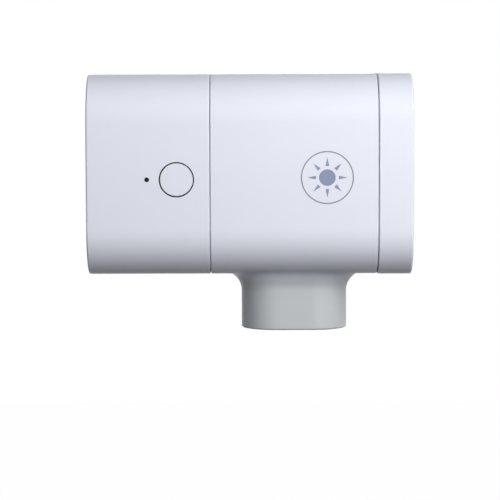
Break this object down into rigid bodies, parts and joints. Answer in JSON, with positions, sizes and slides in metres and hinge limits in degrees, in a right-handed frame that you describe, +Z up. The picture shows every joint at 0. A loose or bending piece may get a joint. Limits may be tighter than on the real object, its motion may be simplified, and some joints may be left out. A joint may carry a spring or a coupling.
{
  "type": "uv brush sterilizer",
  "caption": "Wall-hung ultraviolet sterilizer with a push button, an end cap and a neck on its underside that a brush hangs in.",
  "frame": {"origin": "on the wall, at the middle of the body's length and height, on the back of the adhesive pad", "axes": "+Z up, +Y into the wall, +X along the body towards the end cap"},
  "size_m": [0.083, 0.0443, 0.0662],
  "materials": {
    "shell": "satin silver-white",
    "button_cap": "satin silver-white",
    "lamp_lens": "dark tinted",
    "lamp_chip": "matt",
    "inner_plastic": "moulded",
    "switch_metal": "plain",
    "switch_plastic": "moulded",
    "circuit_board": "solder mask",
    "chip_black": "moulded",
    "steel_screw": "zinc plated",
    "battery_foil": "laminated foil",
    "soft_foam": "closed-cell foam",
    "port_metal": "plain",
    "soft_seal": "silicone",
    "throat_rubber": "silicone",
    "magnet_plate": "nickel plated",
    "lamp_board": "white solder mask",
    "quartz": "clear",
    "liner_metal": "bright",
    "plate_steel": "brushed",
    "adhesive_foam": "acrylic foam tape",
    "wire_red": "insulated wire",
    "wire_white": "insulated wire"
  },
  "bodies": {
    "wall_mount": {"adhesive_pad": "adhesive_foam", "wall_plate": "plate_steel"},
    "unit": {"battery_cell": "battery_foil", "battery_foam": "soft_foam", "battery_leads": "wire_red", "battery_tray": "inner_plastic", "bezel_screws": "steel_screw", "board_chips": "chip_black", "board_screws": "steel_screw", "bulkhead": "inner_plastic", "bulkhead_gasket": "soft_seal", "button_guide": "inner_plastic", "case_screws": "steel_screw", "chamber_housing": "shell", "charge_board": "circuit_board", "charge_board_screws": "steel_screw", "charge_leads": "wire_white", "charging_port": "port_metal", "control_housing": "shell", "cover_tab": "soft_seal", "lamp_board": "lamp_board", "lamp_diodes": "lamp_chip", "lamp_leads": "wire_white", "light_pipe": "lamp_lens", "liner_rings": "soft_foam", "magnet_caps": "inner_plastic", "magnets": "magnet_plate", "main_board": "circuit_board", "quartz_window": "quartz", "reflector_liner": "liner_metal", "status_lamp": "lamp_chip", "tactile_switch": "switch_metal", "throat_sleeve": "throat_rubber", "tray_screws": "steel_screw", "window_bezel": "inner_plastic", "window_seal": "soft_seal"},
    "button": {"power_button": "button_cap", "switch_plunger": "switch_plastic"},
    "cap": {"end_cap": "shell", "cap_seal": "soft_seal"},
    "port_flap": {"port_cover": "soft_seal"}
  },
  "joints": [
    {"name": "unit_release", "type": "slide", "parent": "wall_mount", "child": "unit", "axis": [0, -1, 0], "range_m": [0, 0.03]},
    {"name": "button_press", "type": "slide", "parent": "unit", "child": "button", "axis": [0, 1, 0], "range_m": [0, 0.0005], "stiffness_N_per_m": 500},
    {"name": "cap_pull", "type": "slide", "parent": "unit", "child": "cap", "axis": [1, 0, 0], "range_m": [0, 0.02]},
    {"name": "port_flap_hinge", "type": "hinge", "parent": "unit", "child": "port_flap", "pos_m": [-0.026, -0.02, -0.02515], "axis": [1, 0, 0], "range_deg": [0, 90]}
  ]
}
